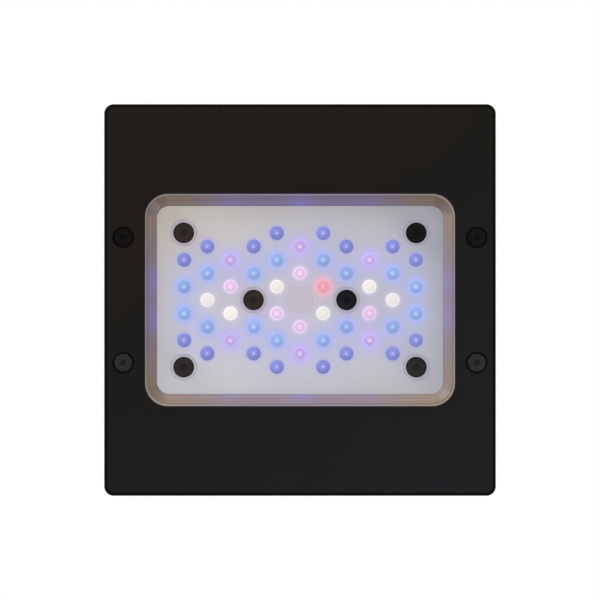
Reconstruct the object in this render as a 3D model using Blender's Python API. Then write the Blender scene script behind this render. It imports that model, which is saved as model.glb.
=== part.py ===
"""Square aquarium light with a downward-facing LED panel, hung above the water.

Sizes are in millimetres and become metres where a mesh is made.
+Z is up, -Y is the front, and the origin is the centre of the cover's top face.
"""

import math

import bmesh
import bpy
from mathutils import Vector

MM = 0.001
GAP = 0.3

# Casing
BODY_SIDE = 180.0
BODY_CORNER = 4.3
BODY_HEIGHT = 38.0
EDGE_BEVEL = 1.3
COVER_SKIN = 2.4
COVER_WALL = 2.0
COVER_SHOULDER = 4.0
COVER_INNER_BEVEL = 0.5
HOUSING_PLATE = 3.0

# Lens cover
LENS_SIZE = (142.5, 97.7)
LENS_CORNER = 10.7
LENS_FACE = (131.0, 86.0)
LENS_FACE_CORNER = 5.5
LENS_WALL = 3.0
LENS_DROP = 3.5
LENS_RIM_DROP = 0.9
LENS_RIM_WIDTH = 1.1
LENS_GROOVE_WIDTH = 0.8
FLANGE_WIDTH = 3.75
FLANGE_THICKNESS = 1.8
GASKET_THICKNESS = 1.0
BOSS_RADIUS = 8.2
COUNTERBORE_RADIUS = 6.5

# LED panel: a hexagonal grid of columns along X and rows along Y
LED_PITCH = 12.33
COLUMN_PITCH = LED_PITCH * math.cos(math.radians(30))
LED_ROWS = {0: (1, 2), 1: (0.5, 1.5, 2.5), 2: (1, 2), 3: (0.5, 1.5), 4: (0, 1, 2), 5: (0.5, 1.5)}
PANEL_SCREW_CELLS = ((-5, -2.5), (-5, 2.5), (5, -2.5), (5, 2.5), (-2, 0), (2, 0))
LED_WINDOW_RADIUS = 3.2
LED_DOME_RADIUS = 2.6
LED_DOME_HEIGHT = 1.5
PANEL_SIZE = (134.0, 89.0)
PANEL_CORNER = 6.0
PAD_SIZE = (116.0, 78.0)
PAD_THICKNESS = 0.8
BOARD_THICKNESS = 1.6
REFLECTOR_THICKNESS = 1.5

# Heat sink
SINK_BOTTOM = -29.0
SINK_BASE = 3.0
FIN_TOP = -6.0
FIN_PITCH = 5.5
FIN_THICKNESS = 1.2
FINS_EACH_SIDE = 12
SINK_FRONT = -75.0
SINK_REAR = 64.0

# Fan
FAN_SIDE = 80.0
FAN_DEPTH = 15.0
FAN_TOP = -4.7
FAN_CORNER = 4.0
FAN_BORE_RADIUS = 38.4
FAN_SCREW_OFFSET = 35.75
ROTOR_RADIUS = 37.4
HUB_RADIUS = 16.5
BLADE_COUNT = 7
GRILLE_RADIUS = 42.0
GRILLE_RINGS = (15.0, 23.0, 31.0)

# Side rails, controls and power inlet
RAIL_X = 81.2
RAIL_WIDTH = 11.8
RAIL_LENGTH = 92.0
RAIL_TOP = -COVER_SKIN - GAP
SLOT_WIDTH = 7.0
SLOT_LENGTH = 72.0
SLOT_DEPTH = 12.0
COVER_SLOT = (8.0, 70.0)
HOUSING_SCREW_Y = 28.8
COVER_SCREW_Y = 41.5
BUTTON_X = (-14.0, 0.0, 14.0)
BUTTON_Y = -70.0
BUTTON_RADIUS = 3.4
LIGHT_PIPE_X = 28.0
BOARD_TOP = -9.1
INLET_POSITION = (58.0, 20.0)
INLET_RADIUS = 5.0
INLET_BORE = 3.2
INLET_PIN = 1.0

# Vents
VENT_WIDTH = 3.4
VENT_PITCH = 8.8
VENT_TOP = -10.0
VENT_BOTTOM = -29.0

ROUND_STEPS = 16
CORNER_STEPS = 5

HOUSING_BOTTOM = -BODY_HEIGHT
PLATE_TOP = HOUSING_BOTTOM + HOUSING_PLATE
COVER_BOTTOM = PLATE_TOP + GAP
LENS_BOTTOM = HOUSING_BOTTOM - LENS_DROP
PAD_TOP = SINK_BOTTOM - GAP
BOARD_UPPER = PAD_TOP - PAD_THICKNESS - GAP
BOARD_LOWER = BOARD_UPPER - BOARD_THICKNESS
REFLECTOR_UPPER = BOARD_LOWER - GAP
REFLECTOR_LOWER = REFLECTOR_UPPER - REFLECTOR_THICKNESS
BOSS_TOP = REFLECTOR_LOWER - GAP
BOSS_FLOOR = BOSS_TOP - 2.5
FLANGE_BOTTOM = PLATE_TOP + GASKET_THICKNESS + 2 * GAP
FAN_BOTTOM = FAN_TOP - FAN_DEPTH

FINISHES = {
    "housing_black": ((0.013, 0.012, 0.012), 0.55, 0.0),
    "cover_black": ((0.014, 0.013, 0.013), 0.5, 0.0),
    "clear_acrylic": ((0.85, 0.87, 0.9), 0.08, 0.0),
    "gasket_rubber": ((0.03, 0.03, 0.03), 0.8, 0.0),
    "reflector_white": ((0.8, 0.79, 0.78), 0.45, 0.0),
    "led_blue": ((0.35, 0.45, 0.9), 0.3, 0.0),
    "thermal_pad_grey": ((0.35, 0.37, 0.4), 0.7, 0.0),
    "sink_aluminium": ((0.6, 0.61, 0.62), 0.35, 1.0),
    "fan_black": ((0.02, 0.02, 0.02), 0.45, 0.0),
    "circuit_board": ((0.02, 0.06, 0.04), 0.4, 0.0),
    "wire_black": ((0.03, 0.03, 0.03), 0.6, 0.0),
    "rail_aluminium": ((0.05, 0.05, 0.055), 0.4, 1.0),
    "button_grey": ((0.1, 0.1, 0.105), 0.6, 0.0),
    "light_pipe_clear": ((0.8, 0.85, 0.9), 0.1, 0.0),
    "screw_black": ((0.025, 0.025, 0.027), 0.4, 1.0),
    "pin_metal": ((0.7, 0.68, 0.62), 0.25, 1.0),
}


def clear_scene():
    for thing in list(bpy.data.objects):
        bpy.data.objects.remove(thing, do_unlink=True)


def make_material(slot):
    colour, roughness, metallic = FINISHES[slot]
    material = bpy.data.materials.new(slot)
    material.use_nodes = True
    shader = material.node_tree.nodes["Principled BSDF"]
    shader.inputs["Base Color"].default_value = (*colour, 1.0)
    shader.inputs["Roughness"].default_value = roughness
    shader.inputs["Metallic"].default_value = metallic
    return material


# Outlines: each returns one ring of points at one height

def rectangle(width, depth, height, centre=(0.0, 0.0)):
    signs = ((1, 1), (-1, 1), (-1, -1), (1, -1))
    return [
        Vector((centre[0] + sx * width / 2, centre[1] + sy * depth / 2, height))
        for sx, sy in signs
    ]


def rounded_rectangle(width, depth, radius, height):
    points = []
    for corner, (sx, sy) in enumerate(((1, 1), (-1, 1), (-1, -1), (1, -1))):
        middle = Vector((sx * (width / 2 - radius), sy * (depth / 2 - radius), height))
        for step in range(CORNER_STEPS + 1):
            angle = math.radians(90 * (corner + step / CORNER_STEPS))
            points.append(middle + radius * Vector((math.cos(angle), math.sin(angle), 0)))
    return points


def circle(radius, height, centre=(0.0, 0.0), steps=ROUND_STEPS):
    turn = 2 * math.pi / steps
    return [
        Vector((
            centre[0] + radius * math.cos(turn * step),
            centre[1] + radius * math.sin(turn * step),
            height,
        ))
        for step in range(steps)
    ]


# Stacks: a list of rings joined by walls, either capped or closed on itself

def turned(profile, centre=(0.0, 0.0), steps=ROUND_STEPS):
    return [circle(radius, height, centre, steps) for radius, height in profile]


def block(width, depth, low, high, centre=(0.0, 0.0)):
    return [rectangle(width, depth, low, centre), rectangle(width, depth, high, centre)]


def rod(radius, low, high, centre=(0.0, 0.0), steps=ROUND_STEPS):
    return turned(((radius, low), (radius, high)), centre, steps)


def add_stack(mesh, rings, closed):
    loops = [[mesh.verts.new(point * MM) for point in ring] for ring in rings]
    pairs = list(zip(loops, loops[1:]))
    if closed:
        pairs.append((loops[-1], loops[0]))
    else:
        mesh.faces.new(loops[0])
        mesh.faces.new(loops[-1])
    for lower, upper in pairs:
        for index in range(len(lower)):
            following = (index + 1) % len(lower)
            mesh.faces.new((lower[index], lower[following], upper[following], upper[index]))


def mesh_from(name, stacks, closed=False):
    mesh = bmesh.new()
    for rings in stacks:
        add_stack(mesh, rings, closed)
    bmesh.ops.recalc_face_normals(mesh, faces=mesh.faces)
    data = bpy.data.meshes.new(name)
    mesh.to_mesh(data)
    mesh.free()
    return data


def place(name, data, slot, location=(0.0, 0.0, 0.0), turn=(0.0, 0.0, 0.0)):
    if not data.materials:
        data.materials.append(bpy.data.materials.get(slot) or make_material(slot))
    thing = bpy.data.objects.new(name, data)
    thing.location = Vector(location) * MM
    thing.rotation_euler = turn
    bpy.context.scene.collection.objects.link(thing)
    return thing


def solid(name, slot, rings, closed=False, location=(0.0, 0.0, 0.0), turn=(0.0, 0.0, 0.0)):
    return place(name, mesh_from(name, [rings], closed), slot, location, turn)


def combine(target, name, stacks, operation, closed=False):
    data = mesh_from(name, stacks, closed)
    tool = bpy.data.objects.new(name, data)
    tool.hide_render = True
    tool.display_type = "WIRE"
    bpy.context.scene.collection.objects.link(tool)
    modifier = target.modifiers.new(name, "BOOLEAN")
    modifier.operation = operation
    modifier.solver = "EXACT"
    modifier.object = tool


def cut(target, name, stacks, closed=False):
    combine(target, name, stacks, "DIFFERENCE", closed)


def fuse(target, name, stacks, closed=False):
    combine(target, name, stacks, "UNION", closed)


def grid_point(column, row):
    return (column * COLUMN_PITCH, row * LED_PITCH)


def led_points():
    points = []
    for column in range(-5, 6):
        for row in LED_ROWS[abs(column)]:
            points.append(grid_point(column, row))
            if row:
                points.append(grid_point(column, -row))
    return points


def panel_screw_points():
    return [grid_point(column, row) for column, row in PANEL_SCREW_CELLS]


def corners(x, y):
    return [(sx * x, sy * y) for sx in (-1, 1) for sy in (-1, 1)]


def body_ring(inset, height):
    side = BODY_SIDE - 2 * inset
    return rounded_rectangle(side, side, max(BODY_CORNER - inset, 1.0), height)


# Casing

def make_bottom_housing():
    window = (LENS_SIZE[0] + 2 * GAP, LENS_SIZE[1] + 2 * GAP, LENS_CORNER + GAP)
    rings = [
        rounded_rectangle(*window, HOUSING_BOTTOM),
        body_ring(EDGE_BEVEL, HOUSING_BOTTOM),
        body_ring(0, HOUSING_BOTTOM + EDGE_BEVEL),
        body_ring(0, PLATE_TOP),
        rounded_rectangle(*window, PLATE_TOP),
    ]
    housing = solid("bottom_housing", "housing_black", rings, closed=True)
    points = corners(RAIL_X, HOUSING_SCREW_Y)
    cut(housing, "housing_counterbores", [
        rod(4.9, HOUSING_BOTTOM - 1, HOUSING_BOTTOM + 2, point) for point in points
    ])
    cut(housing, "housing_screw_holes", [
        rod(2.1, HOUSING_BOTTOM + 1, PLATE_TOP + 1, point, 12) for point in points
    ])


def front_and_rear_vents():
    middle = (VENT_TOP + VENT_BOTTOM) / 2
    stacks = []
    for side in (-1, 1):
        for index in range(-7, 8):
            x = index * VENT_PITCH
            near_inlet = side > 0 and abs(x - INLET_POSITION[0]) < INLET_RADIUS + VENT_PITCH
            if near_inlet:
                continue
            half = (VENT_TOP - VENT_BOTTOM) / 2
            centre = (x, side * BODY_SIDE / 2)
            stacks.append(block(VENT_WIDTH, 8, middle - half, middle + half, centre))
    return stacks


def side_vents():
    stacks = []
    for side in (-1, 1):
        for y in (-75, -66, -57, 57, 66, 75):
            centre = (side * BODY_SIDE / 2, y)
            stacks.append(block(8, VENT_WIDTH, VENT_BOTTOM, VENT_TOP, centre))
    return stacks


def top_vents():
    return [
        block(VENT_WIDTH, 20, -COVER_SKIN - 1, 1, (index * VENT_PITCH, 66))
        for index in range(-6, 7)
    ]


def make_top_cover():
    shoulder = COVER_SHOULDER
    ceiling = -COVER_SKIN
    rings = [
        body_ring(shoulder, 0),
        body_ring(shoulder * 0.4, -shoulder * 0.25),
        body_ring(0, -shoulder),
        body_ring(0, COVER_BOTTOM),
        body_ring(COVER_WALL, COVER_BOTTOM),
        body_ring(COVER_WALL, ceiling - COVER_INNER_BEVEL),
        body_ring(COVER_WALL + COVER_INNER_BEVEL, ceiling),
    ]
    cover = solid("top_cover", "cover_black", rings)
    cut(cover, "fan_opening", [rod(GRILLE_RADIUS + GAP, ceiling - 1, 1, steps=32)])
    slots = [block(*COVER_SLOT, ceiling - 1, 1, (side * RAIL_X, 0)) for side in (-1, 1)]
    cut(cover, "hanger_openings", slots)
    screws = corners(RAIL_X, COVER_SCREW_Y)
    cut(cover, "cover_counterbores", [rod(3.3, -1.6, 1, point, 12) for point in screws])
    cut(cover, "cover_screw_holes", [rod(1.9, ceiling - 1, -1, point, 8) for point in screws])
    controls = [rod(BUTTON_RADIUS + 0.4, ceiling - 1, 1, (x, BUTTON_Y)) for x in BUTTON_X]
    controls.append(rod(1.8, ceiling - 1, 1, (LIGHT_PIPE_X, BUTTON_Y), 12))
    cut(cover, "control_openings", controls)
    cut(cover, "vent_openings", front_and_rear_vents() + side_vents() + top_vents())
    cut(cover, "inlet_opening", [inlet_hole()])


def inlet_hole():
    x, depth = INLET_POSITION
    outline = circle(INLET_RADIUS + GAP, 0)
    return [
        [Vector((x + point.x, y, -depth + point.y)) for point in outline]
        for y in (BODY_SIDE / 2 - 6, BODY_SIDE / 2 + 2)
    ]


def make_side_rails():
    for side, name in ((-1, "side_rail_left"), (1, "side_rail_right")):
        x = side * RAIL_X
        low = PLATE_TOP + GAP
        rail = solid(name, "rail_aluminium", block(RAIL_WIDTH, RAIL_LENGTH, low, RAIL_TOP, (x, 0)))
        slot_floor = RAIL_TOP - SLOT_DEPTH
        cut(rail, name + "_slot", [block(SLOT_WIDTH, SLOT_LENGTH, slot_floor, 0, (x, 0))])
        bottom_holes = [rod(1.9, low - 1, -25, (x, sy * HOUSING_SCREW_Y), 12) for sy in (-1, 1)]
        top_holes = [rod(1.9, -13, 0, (x, sy * COVER_SCREW_Y), 12) for sy in (-1, 1)]
        cut(rail, name + "_screw_holes", bottom_holes + top_holes)


# Optics

def make_lens_cover():
    width, depth = LENS_SIZE
    face_width, face_depth = LENS_FACE

    def outer(inset, height):
        corner = LENS_CORNER - inset
        return rounded_rectangle(width - 2 * inset, depth - 2 * inset, corner, height)

    rim_bottom = HOUSING_BOTTOM - LENS_RIM_DROP
    groove = LENS_RIM_WIDTH + LENS_GROOVE_WIDTH
    flange_top = FLANGE_BOTTOM + FLANGE_THICKNESS
    rings = [
        rounded_rectangle(face_width - 6, face_depth - 6, 4.0, LENS_BOTTOM + LENS_WALL),
        outer(LENS_WALL, LENS_BOTTOM + LENS_WALL + 2.5),
        outer(LENS_WALL, flange_top),
        outer(-FLANGE_WIDTH, flange_top),
        outer(-FLANGE_WIDTH, FLANGE_BOTTOM),
        outer(0, FLANGE_BOTTOM),
        outer(0, rim_bottom),
        outer(LENS_RIM_WIDTH, rim_bottom),
        outer(LENS_RIM_WIDTH, rim_bottom + 0.7),
        outer(groove, rim_bottom + 0.7),
        outer(groove + 0.2, rim_bottom - 0.5),
        rounded_rectangle(face_width, face_depth, LENS_FACE_CORNER, LENS_BOTTOM),
    ]
    lens = solid("lens_cover", "clear_acrylic", rings)
    points = panel_screw_points()
    fuse(lens, "lens_bosses", [
        rod(BOSS_RADIUS, LENS_BOTTOM + 1.5, BOSS_TOP, point) for point in points
    ])
    cut(lens, "lens_counterbores", [
        rod(COUNTERBORE_RADIUS, LENS_BOTTOM - 1, BOSS_FLOOR, point) for point in points
    ])
    cut(lens, "lens_screw_holes", [rod(2.2, BOSS_FLOOR - 1, BOSS_TOP + 1, point, 8) for point in points])
    cut(lens, "lens_centre_recess", [rod(COUNTERBORE_RADIUS, LENS_BOTTOM - 1, LENS_BOTTOM + 0.4)])


def make_lens_gasket():
    low = PLATE_TOP + GAP
    high = low + GASKET_THICKNESS
    sizes = ((0.4, low), (0.4, high), (FLANGE_WIDTH - 0.3, high), (FLANGE_WIDTH - 0.3, low))
    rings = [
        rounded_rectangle(
            LENS_SIZE[0] + 2 * grow, LENS_SIZE[1] + 2 * grow, LENS_CORNER + grow, height
        )
        for grow, height in sizes
    ]
    solid("lens_gasket", "gasket_rubber", rings, closed=True)


def panel_plate(name, slot, size, low, high):
    rings = [rounded_rectangle(*size, PANEL_CORNER, height) for height in (low, high)]
    plate = solid(name, slot, rings)
    holes = [rod(2.2, low - 0.5, high + 0.5, point, 8) for point in panel_screw_points()]
    cut(plate, name + "_screw_holes", holes)
    return plate


def make_led_panel():
    panel_plate("thermal_pad", "thermal_pad_grey", PAD_SIZE, PAD_TOP - PAD_THICKNESS, PAD_TOP)
    board = panel_plate("led_board", "led_blue", PANEL_SIZE, BOARD_LOWER, BOARD_UPPER)
    fuse(board, "led_domes", [
        rod(LED_DOME_RADIUS, BOARD_LOWER - LED_DOME_HEIGHT, BOARD_LOWER + 0.5, point, 6)
        for point in led_points()
    ])
    reflector = panel_plate(
        "reflector_plate", "reflector_white", PANEL_SIZE, REFLECTOR_LOWER, REFLECTOR_UPPER
    )
    cut(reflector, "led_windows", [
        rod(LED_WINDOW_RADIUS, REFLECTOR_LOWER - 0.5, REFLECTOR_UPPER + 0.5, point, 8)
        for point in led_points()
    ])


# Heat sink and fan

def comb_outline():
    half_base = FINS_EACH_SIDE * FIN_PITCH + 2.0
    base_top = SINK_BOTTOM + SINK_BASE
    outline = [(-half_base, base_top), (-half_base, SINK_BOTTOM)]
    outline += [(half_base, SINK_BOTTOM), (half_base, base_top)]
    for index in range(FINS_EACH_SIDE, -FINS_EACH_SIDE - 1, -1):
        right = index * FIN_PITCH + FIN_THICKNESS / 2
        left = right - FIN_THICKNESS
        outline += [(right, base_top), (right, FIN_TOP), (left, FIN_TOP), (left, base_top)]
    return outline


def make_heatsink():
    rings = [[Vector((x, y, z)) for x, z in comb_outline()] for y in (SINK_FRONT, SINK_REAR)]
    sink = solid("heatsink", "sink_aluminium", rings)
    fan_pocket = block(FAN_SIDE + 4, FAN_SIDE + 4, FAN_BOTTOM - GAP, 0)
    cut(sink, "fan_pocket", [fan_pocket])
    cut(sink, "board_pocket", [block(150, 40, BOARD_TOP - BOARD_THICKNESS - GAP, 0, (0, -61))])
    cut(sink, "harness_notch", [block(8, 13, SINK_BOTTOM - 1, 0, (-65.4, -39.5))])
    cut(sink, "sink_screw_holes", [
        rod(2.2, SINK_BOTTOM - 1, SINK_BOTTOM + 2.3, point, 8) for point in panel_screw_points()
    ])


def make_fan_frame():
    rings = [rounded_rectangle(FAN_SIDE, FAN_SIDE, FAN_CORNER, z) for z in (FAN_BOTTOM, FAN_TOP)]
    frame = solid("fan_frame", "fan_black", rings)
    cut(frame, "fan_bore", [rod(FAN_BORE_RADIUS, FAN_BOTTOM - 1, FAN_TOP + 1, steps=32)])
    strut_top = FAN_BOTTOM + 2.5
    struts = []
    for quarter in range(4):
        turn = math.radians(45 + 90 * quarter)
        along = Vector((math.cos(turn), math.sin(turn), 0))
        across = Vector((-along.y, along.x, 0)) * 1.5
        struts.append([
            [along * 12 + across + Vector((0, 0, z)), along * 12 - across + Vector((0, 0, z)),
             along * 40 - across + Vector((0, 0, z)), along * 40 + across + Vector((0, 0, z))]
            for z in (FAN_BOTTOM + 0.2, strut_top - 0.2)
        ])
    fuse(frame, "fan_struts", struts)
    fuse(frame, "stator_hub", [rod(HUB_RADIUS, FAN_BOTTOM, strut_top, steps=24)])
    holes = corners(FAN_SCREW_OFFSET, FAN_SCREW_OFFSET)
    cut(frame, "fan_screw_holes", [
        rod(2.1, FAN_BOTTOM - 1, FAN_TOP + 1, point, 8) for point in holes
    ])


def blade(index, low, high):
    sections = []
    for radius, sweep in ((14.5, 0), (24, 7), (ROTOR_RADIUS, 16)):
        ring = []
        for angle, height in ((0, high), (34, low), (37, low + 1.2), (3, high + 1.2)):
            turn = math.radians(angle + sweep + 360 * index / BLADE_COUNT)
            ring.append(Vector((radius * math.cos(turn), radius * math.sin(turn), height)))
        sections.append(ring)
    return sections


def make_fan_rotor():
    hub_bottom = FAN_BOTTOM + 2.5 + GAP
    hub_top = FAN_TOP - 0.6
    middle = (hub_bottom + hub_top) / 2
    half = (hub_top - hub_bottom) / 2
    profile = ((HUB_RADIUS, -half), (HUB_RADIUS, half - 1.2), (HUB_RADIUS - 1.2, half))
    rings = turned(profile, steps=24)
    rotor = solid("fan_rotor", "fan_black", rings, location=(0, 0, middle))
    low = middle - half + 0.8
    high = middle + half - 2.4
    fuse(rotor, "fan_blades", [blade(index, low, high) for index in range(BLADE_COUNT)])


def spoke(index, inner, outer):
    turn = math.radians(60 * index + 30)
    along = Vector((math.cos(turn), math.sin(turn), 0))
    across = Vector((-along.y, along.x, 0)) * 1.1
    return [
        [along * inner + across + Vector((0, 0, z)), along * inner - across + Vector((0, 0, z)),
         along * outer - across + Vector((0, 0, z)), along * outer + across + Vector((0, 0, z))]
        for z in (-2.1, -0.4)
    ]


def make_fan_grille():
    lip_top = -COVER_SKIN - GAP
    profile = (
        (38.5, -0.2), (GRILLE_RADIUS, -0.2), (GRILLE_RADIUS, lip_top), (44.0, lip_top),
        (44.0, lip_top - 1.2), (38.5, lip_top - 1.2),
    )
    grille = solid("fan_grille", "cover_black", turned(profile, steps=32), closed=True)
    fuse(grille, "grille_spokes", [spoke(index, 5, 39.5) for index in range(6)])
    fuse(grille, "grille_hub", [rod(8.5, -2.2, -0.3, steps=24)])
    bands = [
        turned(((r, -0.3), (r + 1.4, -0.3), (r + 1.4, -2.2), (r, -2.2)), steps=20)
        for r in GRILLE_RINGS
    ]
    fuse(grille, "grille_bands", bands, closed=True)


# Electronics and controls

def make_control_board():
    width, depth, centre = 108.0, 28.0, (0.0, -68.0)
    low = BOARD_TOP - BOARD_THICKNESS
    board = solid("control_board", "circuit_board", block(width, depth, low, BOARD_TOP, centre))
    parts = [
        (6, 6, 2.4, (x, BUTTON_Y)) for x in BUTTON_X
    ]
    parts += [(8, 6, 4.6, (50, -62)), (8, 6, 4.6, (-50, -62)), (8, 6, 4.1, (-30, -59))]
    parts += [(2.5, 2.5, 1.0, (LIGHT_PIPE_X, BUTTON_Y)), (16, 12, 2.5, (39, -74))]
    parts += [(7, 7, 3.5, (x, -75)) for x in (-48, -38, -28)]
    parts += [(9, 9, 1.2, (8, -60)), (6, 5, 1.2, (-8, -60))]
    fuse(board, "board_components", [
        block(wide, deep, BOARD_TOP - 0.5, BOARD_TOP + tall, where)
        for wide, deep, tall, where in parts
    ])


def make_buttons():
    under_cover = -COVER_SKIN - GAP
    profile = (
        (BUTTON_RADIUS - 0.5, 0.7), (BUTTON_RADIUS, 0.2), (BUTTON_RADIUS, under_cover),
        (4.6, under_cover), (4.6, under_cover - 1.0), (1.5, under_cover - 1.0), (1.5, -5.4),
    )
    data = mesh_from("button", [turned(profile, steps=12)])
    for x, name in zip(BUTTON_X, ("button_left", "button_centre", "button_right")):
        place(name, data, "button_grey", (x, BUTTON_Y, 0))


def make_light_pipe():
    under_cover = -COVER_SKIN - GAP
    profile = (
        (1.2, 0.1), (1.5, -0.2), (1.5, under_cover), (2.4, under_cover),
        (2.4, under_cover - 0.9), (1.5, under_cover - 0.9), (1.5, -7.6),
    )
    rings = turned(profile, steps=12)
    solid("indicator_light_pipe", "light_pipe_clear", rings, location=(LIGHT_PIPE_X, BUTTON_Y, 0))


def make_power_inlet():
    socket = (
        (INLET_BORE, -9.8), (INLET_BORE, -0.6), (INLET_BORE + 0.4, -0.2), (INLET_RADIUS, -0.2),
        (INLET_RADIUS, -2.3), (6.4, -2.3), (6.4, -14.0),
    )
    pin = ((0.6, -1.6), (INLET_PIN, -2.0), (INLET_PIN, -9.8 + GAP), (0.6, -9.8 + GAP))
    x, depth = INLET_POSITION
    for name, slot, profile in (
        ("power_inlet", "fan_black", socket), ("inlet_pin", "pin_metal", pin),
    ):
        solid(
            name, slot, turned(profile, steps=12), location=(x, BODY_SIDE / 2, -depth),
            turn=(math.radians(-90), 0, 0),
        )


def smooth_route(points, steps=2):
    """Points along a smooth curve that passes through each given point."""
    given = [Vector(point) for point in points]
    ends = [2 * given[0] - given[1]] + given + [2 * given[-1] - given[-2]]
    route = []
    for a, b, c, d in zip(ends, ends[1:], ends[2:], ends[3:]):
        for step in range(steps):
            t = step / steps
            bend = 2 * b + (c - a) * t + (2 * a - 5 * b + 4 * c - d) * t ** 2
            route.append((bend + (3 * b - a - 3 * c + d) * t ** 3) / 2)
    route.append(given[-1])
    return route


def make_lead(name, points, radius):
    data = bpy.data.curves.new(name, "CURVE")
    data.dimensions = "3D"
    data.bevel_depth = radius * MM
    data.bevel_resolution = 2
    data.use_fill_caps = True
    route = smooth_route(points)
    spline = data.splines.new("POLY")
    spline.points.add(len(route) - 1)
    for knot, point in zip(spline.points, route):
        knot.co = (*(point * MM), 1.0)
    place(name, data, "wire_black")


def make_leads():
    make_lead("power_lead", (
        (58, 75.4, -20), (59, 71, -19.8), (64.5, 67.4, -19), (70, 60, -17), (70.8, 30, -14),
        (70.8, -15, -11), (70.5, -45, -8.5), (66, -58.5, -7), (54.5, -62, -6.8),
    ), 1.5)
    make_lead("fan_lead", ((-30, -40.5, -9), (-30, -46, -7.6), (-30, -51, -7), (-30, -55.5, -7)), 1.1)
    make_lead("led_harness", (
        (-54.5, -62, -6.8), (-62, -61, -7), (-69.2, -59, -8.6), (-71.4, -54, -14),
        (-71.2, -47, -21.5), (-68.6, -41.6, -25.8), (-65, -39.5, -27.6), (-64, -39.3, -30),
    ), 1.3)


# Fasteners: one mesh for each size, head downwards

def screw_mesh(name, head_radius, head, shank_radius, length, socket_radius, steps=8):
    profile = (
        (socket_radius, head * 0.35), (socket_radius, 0.0), (head_radius - 0.4, 0.0),
        (head_radius, 0.4), (head_radius, head), (shank_radius, head), (shank_radius, head + length),
    )
    return mesh_from(name, [turned(profile, steps=steps)])


def place_screws(name, data, points, height, turn=(0.0, 0.0, 0.0)):
    for number, (x, y) in enumerate(points, 1):
        place(f"{name}_{number}", data, "screw_black", (x, y, height), turn)


def make_screws():
    upright = (math.radians(180), 0, 0)
    lens_screw = screw_mesh("lens_screw", 4.75, 2.4, 1.8, 9.6, 1.6, 12)
    place_screws("lens_screw", lens_screw, panel_screw_points(), BOSS_FLOOR - GAP - 2.4)
    housing_screw = screw_mesh("housing_screw", 4.2, 1.5, 1.6, 8.0, 1.4, 12)
    housing_points = corners(RAIL_X, HOUSING_SCREW_Y)
    place_screws("housing_screw", housing_screw, housing_points, HOUSING_BOTTOM + 0.2)
    cover_screw = screw_mesh("cover_screw", 2.9, 1.1, 1.5, 10.0, 1.1)
    cover_points = corners(RAIL_X, COVER_SCREW_Y)
    place_screws("cover_screw", cover_screw, cover_points, -0.2, upright)
    fan_screw = screw_mesh("fan_screw", 3.2, 1.6, 1.6, 20.0, 1.2)
    fan_points = corners(FAN_SCREW_OFFSET, FAN_SCREW_OFFSET)
    place_screws("fan_screw", fan_screw, fan_points, FAN_TOP + GAP + 1.6, upright)


def smooth_round_pieces():
    for thing in bpy.context.scene.objects:
        if thing.type == "MESH" and not thing.hide_render:
            thing.data.shade_smooth()
            thing.data.set_sharp_from_angle(angle=math.radians(35))


def main():
    clear_scene()
    make_bottom_housing()
    make_top_cover()
    make_side_rails()
    make_lens_cover()
    make_lens_gasket()
    make_led_panel()
    make_heatsink()
    make_fan_frame()
    make_fan_rotor()
    make_fan_grille()
    make_control_board()
    make_buttons()
    make_light_pipe()
    make_power_inlet()
    make_leads()
    make_screws()
    smooth_round_pieces()


main()
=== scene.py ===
"""The looks of a square aquarium light that hangs with its LED panel facing down.

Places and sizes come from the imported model, in metres. The lengths named below
are in millimetres and become metres where a mesh is made.
"""

import math
import random

import bmesh
import bpy
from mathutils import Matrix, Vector


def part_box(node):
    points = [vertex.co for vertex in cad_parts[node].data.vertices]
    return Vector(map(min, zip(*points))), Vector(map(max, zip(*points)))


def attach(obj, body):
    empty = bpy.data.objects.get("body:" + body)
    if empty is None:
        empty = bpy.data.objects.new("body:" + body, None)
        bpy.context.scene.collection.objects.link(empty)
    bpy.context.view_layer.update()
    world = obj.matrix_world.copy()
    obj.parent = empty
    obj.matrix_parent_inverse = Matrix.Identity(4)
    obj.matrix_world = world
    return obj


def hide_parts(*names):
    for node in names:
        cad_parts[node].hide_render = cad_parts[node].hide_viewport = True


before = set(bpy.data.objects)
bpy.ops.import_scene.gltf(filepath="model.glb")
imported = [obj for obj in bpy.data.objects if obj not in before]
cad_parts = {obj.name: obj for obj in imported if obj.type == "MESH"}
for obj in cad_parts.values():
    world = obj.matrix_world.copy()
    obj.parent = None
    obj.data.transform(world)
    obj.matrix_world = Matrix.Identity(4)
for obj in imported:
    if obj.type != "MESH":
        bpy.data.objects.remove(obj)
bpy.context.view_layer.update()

MM = 0.001
ROOT = "fixture"
BUTTONS = ("button_left", "button_centre", "button_right")


def box_mm(node):
    low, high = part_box(node)
    return low / MM, high / MM


def centre_mm(node):
    low, high = box_mm(node)
    return (low + high) / 2


def numbered(name, count):
    return [f"{name}_{number}" for number in range(1, count + 1)]


HOUSING_LOW, HOUSING_HIGH = box_mm("bottom_housing")
LENS_LOW, LENS_HIGH = box_mm("lens_cover")
PLATE_LOW, PLATE_HIGH = box_mm("reflector_plate")
BOARD_LOW, BOARD_HIGH = box_mm("led_board")
COVER_SEAM = box_mm("top_cover")[0].z

BODY_SIDE = HOUSING_HIGH.x - HOUSING_LOW.x
FACE_Z = HOUSING_LOW.z
BODY_CORNER = 4.3
EDGE_ROUND = 1.3

# Lens
LENS_SIZE = (142.5, 97.7)
LENS_CORNER = 10.7
WINDOW_SIZE = (131.0, 86.0)
WINDOW_CORNER = 5.5
WALL_INSET = (LENS_SIZE[0] - WINDOW_SIZE[0]) / 2
WALL_BACK = 3.0
LENS_FLANGE = 1.8
FLANGE_REACH = 3.7
LENS_GAP = 0.25
COUNTERBORE_RADIUS = 6.5
BOSS_FLOOR_Z = -36.6

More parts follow.
